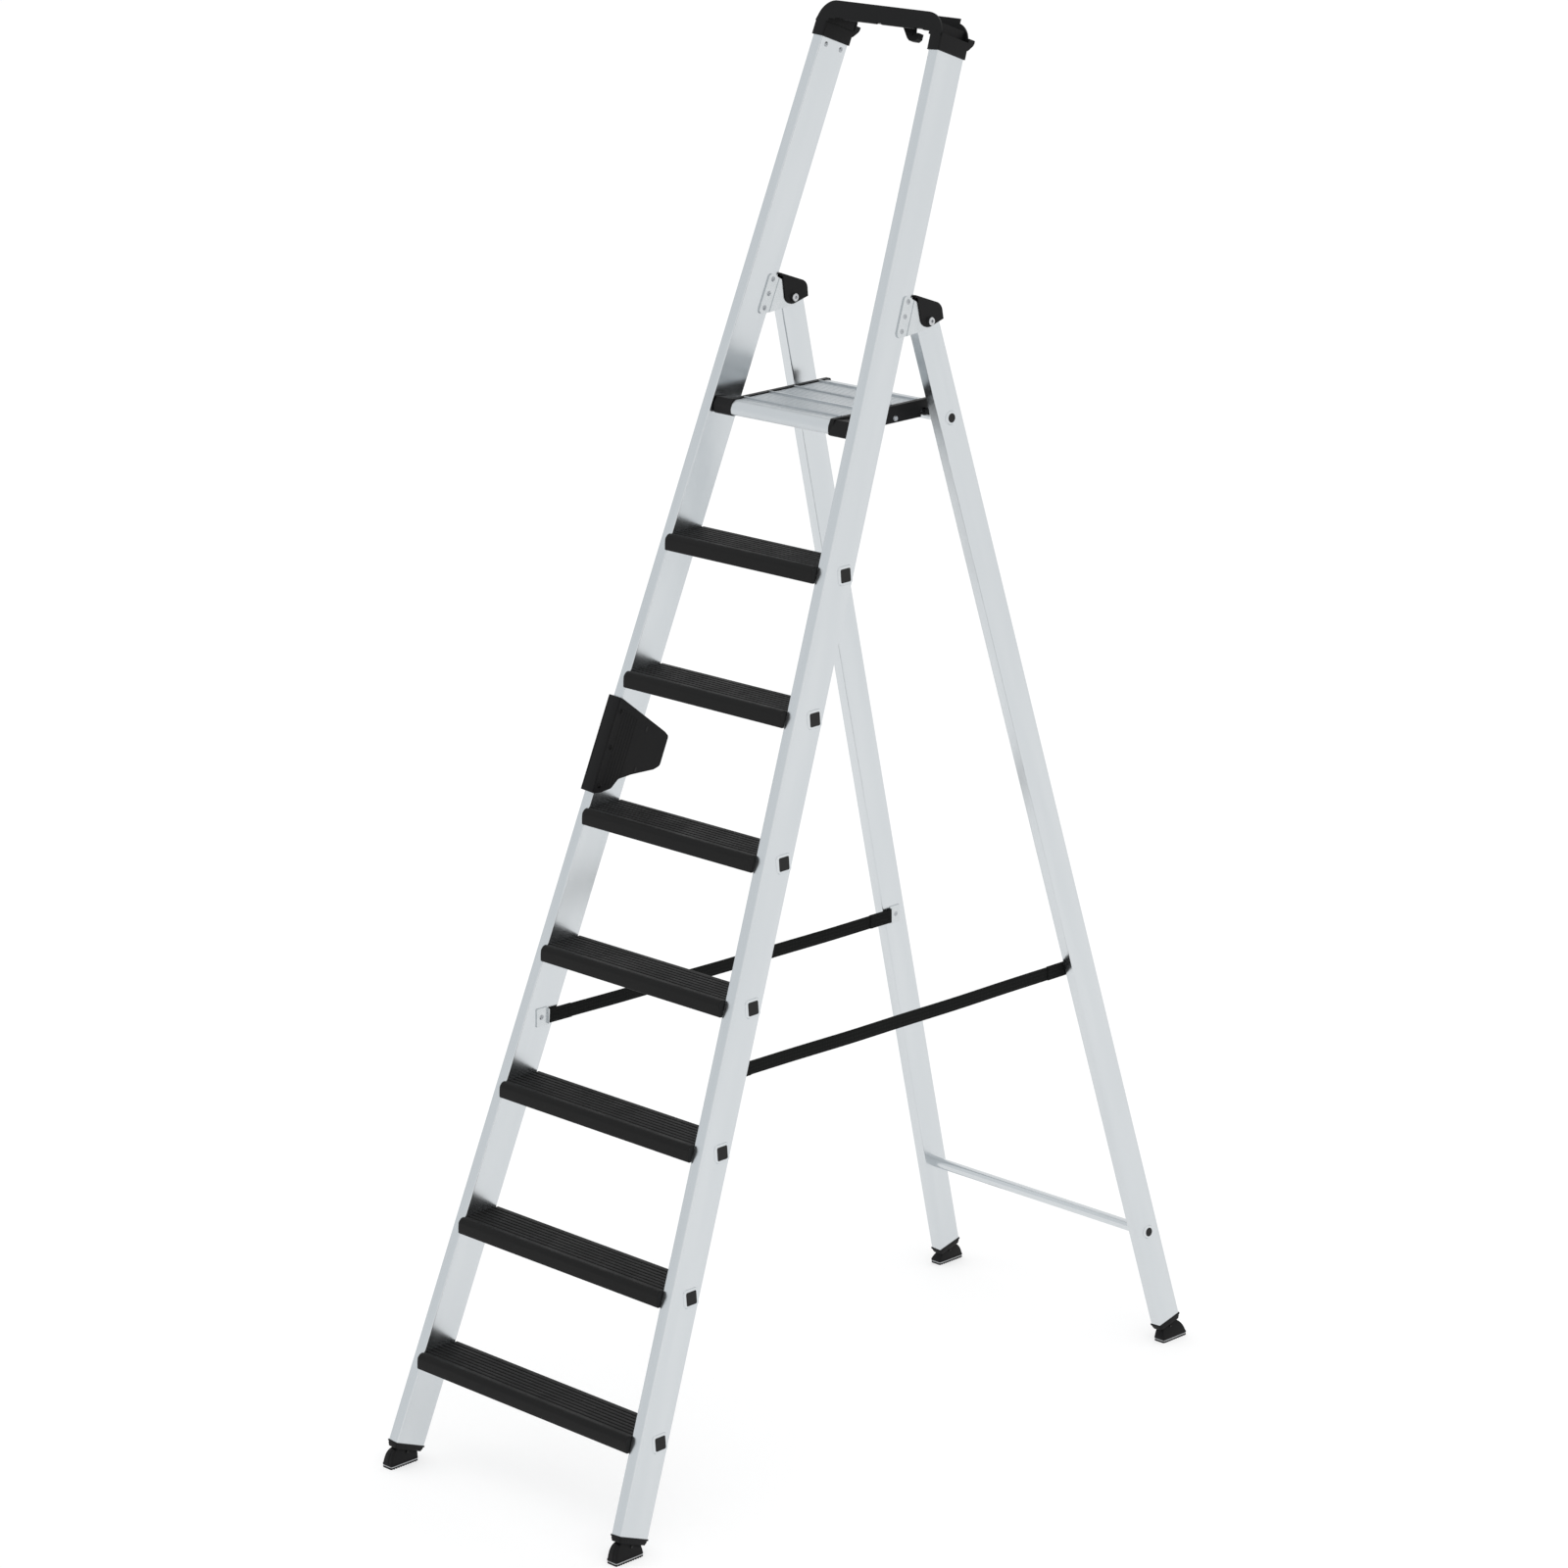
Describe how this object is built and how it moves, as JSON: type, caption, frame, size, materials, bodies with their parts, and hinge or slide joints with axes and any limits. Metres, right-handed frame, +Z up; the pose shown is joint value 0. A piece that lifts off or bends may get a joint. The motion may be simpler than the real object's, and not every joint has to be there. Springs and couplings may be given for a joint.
{
  "type": "platform step ladder",
  "caption": "Aluminium step ladder with a front climbing frame, folding rear legs, tilting platform, top tool tray, side straps and tilting feet.",
  "frame": {"origin": "on the floor, in the middle of the footprint of the opened ladder", "axes": "+Z up, +X to the right of a person standing in front of the steps and facing them, +Y from the steps towards the rear legs"},
  "size_m": [0.6182, 1.428, 2.4902],
  "materials": {
    "aluminium": "satin extruded",
    "black_plastic": "moulded, fine grain",
    "bush_plastic": "moulded",
    "steel": "zinc plated",
    "rivet_metal": "blind rivets, bright",
    "webbing": "woven webbing",
    "grey_liner": "moulded",
    "sole_rubber": "ribbed"
  },
  "bodies": {
    "front_frame": {"stile_left": "aluminium", "stile_right": "aluminium", "step_1": "aluminium", "step_2": "aluminium", "step_3": "aluminium", "step_4": "aluminium", "step_5": "aluminium", "step_6": "aluminium", "step_7": "aluminium", "tread_1": "black_plastic", "tread_2": "black_plastic", "tread_3": "black_plastic", "tread_4": "black_plastic", "tread_5": "black_plastic", "tread_6": "black_plastic", "tread_7": "black_plastic", "step_plugs": "black_plastic", "top_tray": "black_plastic", "hinge_plates_left": "steel", "hinge_plates_right": "steel", "hinge_cover_left": "black_plastic", "hinge_cover_right": "black_plastic", "pivot_bolts": "steel", "pivot_sleeve_nuts": "steel", "front_rivets": "rivet_metal", "strap_brackets_front": "steel", "strap_left": "webbing", "strap_right": "webbing", "carry_grip": "black_plastic", "carry_grip_rivets": "rivet_metal", "foot_sockets_front": "black_plastic", "foot_pins_front": "steel", "platform_pins": "steel"},
    "rear_frame": {"rear_leg_left": "aluminium", "rear_leg_right": "aluminium", "pivot_bushes": "bush_plastic", "platform_support_tube": "aluminium", "rear_crossbar": "aluminium", "tube_plugs": "black_plastic", "strap_brackets_rear": "steel", "strap_rivets_rear": "rivet_metal", "foot_sockets_rear": "black_plastic", "foot_pins_rear": "steel"},
    "platform": {"platform_plate": "aluminium", "platform_rail_left": "black_plastic", "platform_rail_right": "black_plastic", "platform_screws": "steel"},
    "foot_front_left_body": {"foot_front_left": "black_plastic", "foot_liner_front_left": "grey_liner", "foot_sole_front_left": "sole_rubber"},
    "foot_front_right_body": {"foot_front_right": "black_plastic", "foot_liner_front_right": "grey_liner", "foot_sole_front_right": "sole_rubber"},
    "foot_rear_left_body": {"foot_rear_left": "black_plastic", "foot_liner_rear_left": "grey_liner", "foot_sole_rear_left": "sole_rubber"},
    "foot_rear_right_body": {"foot_rear_right": "black_plastic", "foot_liner_rear_right": "grey_liner", "foot_sole_rear_right": "sole_rubber"}
  },
  "joints": [
    {"name": "rear_frame_fold", "type": "hinge", "parent": "front_frame", "child": "rear_frame", "pos_m": [0, 0.19862, 1.97637], "axis": [-1, 0, 0], "range_deg": [0, 35.7], "deforming": ["strap_left", "strap_right"]},
    {"name": "platform_tilt", "type": "hinge", "parent": "front_frame", "child": "platform", "pos_m": [0, 0.0284, 1.811], "axis": [1, 0, 0], "range_deg": [0, 67.9]},
    {"name": "foot_front_left_tilt", "type": "hinge", "parent": "front_frame", "child": "foot_front_left_body", "pos_m": [-0.29481, -0.67484, 0.02304], "axis": [1, 0, 0], "range_deg": [-8, 8]},
    {"name": "foot_front_right_tilt", "type": "hinge", "parent": "front_frame", "child": "foot_front_right_body", "pos_m": [0.29481, -0.67484, 0.02304], "axis": [1, 0, 0], "range_deg": [-8, 8]},
    {"name": "foot_rear_left_tilt", "type": "hinge", "parent": "rear_frame", "child": "foot_rear_left_body", "pos_m": [-0.28716, 0.67794, 0.02492], "axis": [1, 0, 0], "range_deg": [-8, 8]},
    {"name": "foot_rear_right_tilt", "type": "hinge", "parent": "rear_frame", "child": "foot_rear_right_body", "pos_m": [0.28716, 0.67794, 0.02492], "axis": [1, 0, 0], "range_deg": [-8, 8]}
  ],
  "couplings": [
    {"joint": "platform_tilt", "follows": "rear_frame_fold", "ratio": 1.9}
  ]
}
